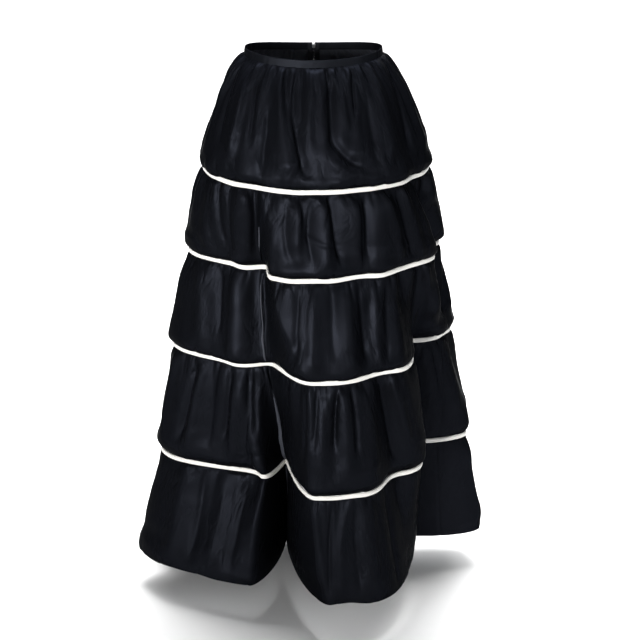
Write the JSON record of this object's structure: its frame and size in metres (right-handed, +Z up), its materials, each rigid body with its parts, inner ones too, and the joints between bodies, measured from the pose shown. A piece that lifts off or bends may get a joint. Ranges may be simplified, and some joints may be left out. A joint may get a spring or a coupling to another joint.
{
  "type": "tiered maxi skirt",
  "caption": "Floor-length skirt in gathered tiers of dark satin, filled out as if worn, with white piping in the seams, a narrow waistband and a back zip.",
  "frame": {"origin": "centre of the waistband's top edge, where a waist holds the skirt", "axes": "+Z up along the wearer, -Y to the front of the skirt, +X to the wearer's left"},
  "size_m": [0.6811, 0.5798, 1.005],
  "materials": {
    "satin": "dark navy satin",
    "piping_satin": "white satin",
    "zip_cloth": "woven zip tape and coil",
    "zip_metal": "nickel-plated"
  },
  "bodies": {
    "skirt": {"waistband": "satin", "tier_1_front": "satin", "tier_1_back_left": "satin", "tier_1_back_right": "satin", "tier_2_front": "satin", "tier_2_back": "satin", "tier_3_front": "satin", "tier_3_back": "satin", "tier_4_front": "satin", "tier_4_back": "satin", "tier_5_front": "satin", "tier_5_back": "satin", "piping_1": "piping_satin", "piping_2": "piping_satin", "piping_3": "piping_satin", "piping_4": "piping_satin", "zip_tape_left": "zip_cloth", "zip_tape_right": "zip_cloth", "zip_coil": "zip_cloth", "zip_slider": "zip_metal"},
    "zip_pull": {"zip_pull": "zip_metal"}
  },
  "joints": [
    {"name": "zip_pull_swing", "type": "hinge", "parent": "skirt", "child": "zip_pull", "pos_m": [0, 0.09376, -0.0185], "axis": [1, 0, 0], "range_deg": [0, 150]}
  ]
}
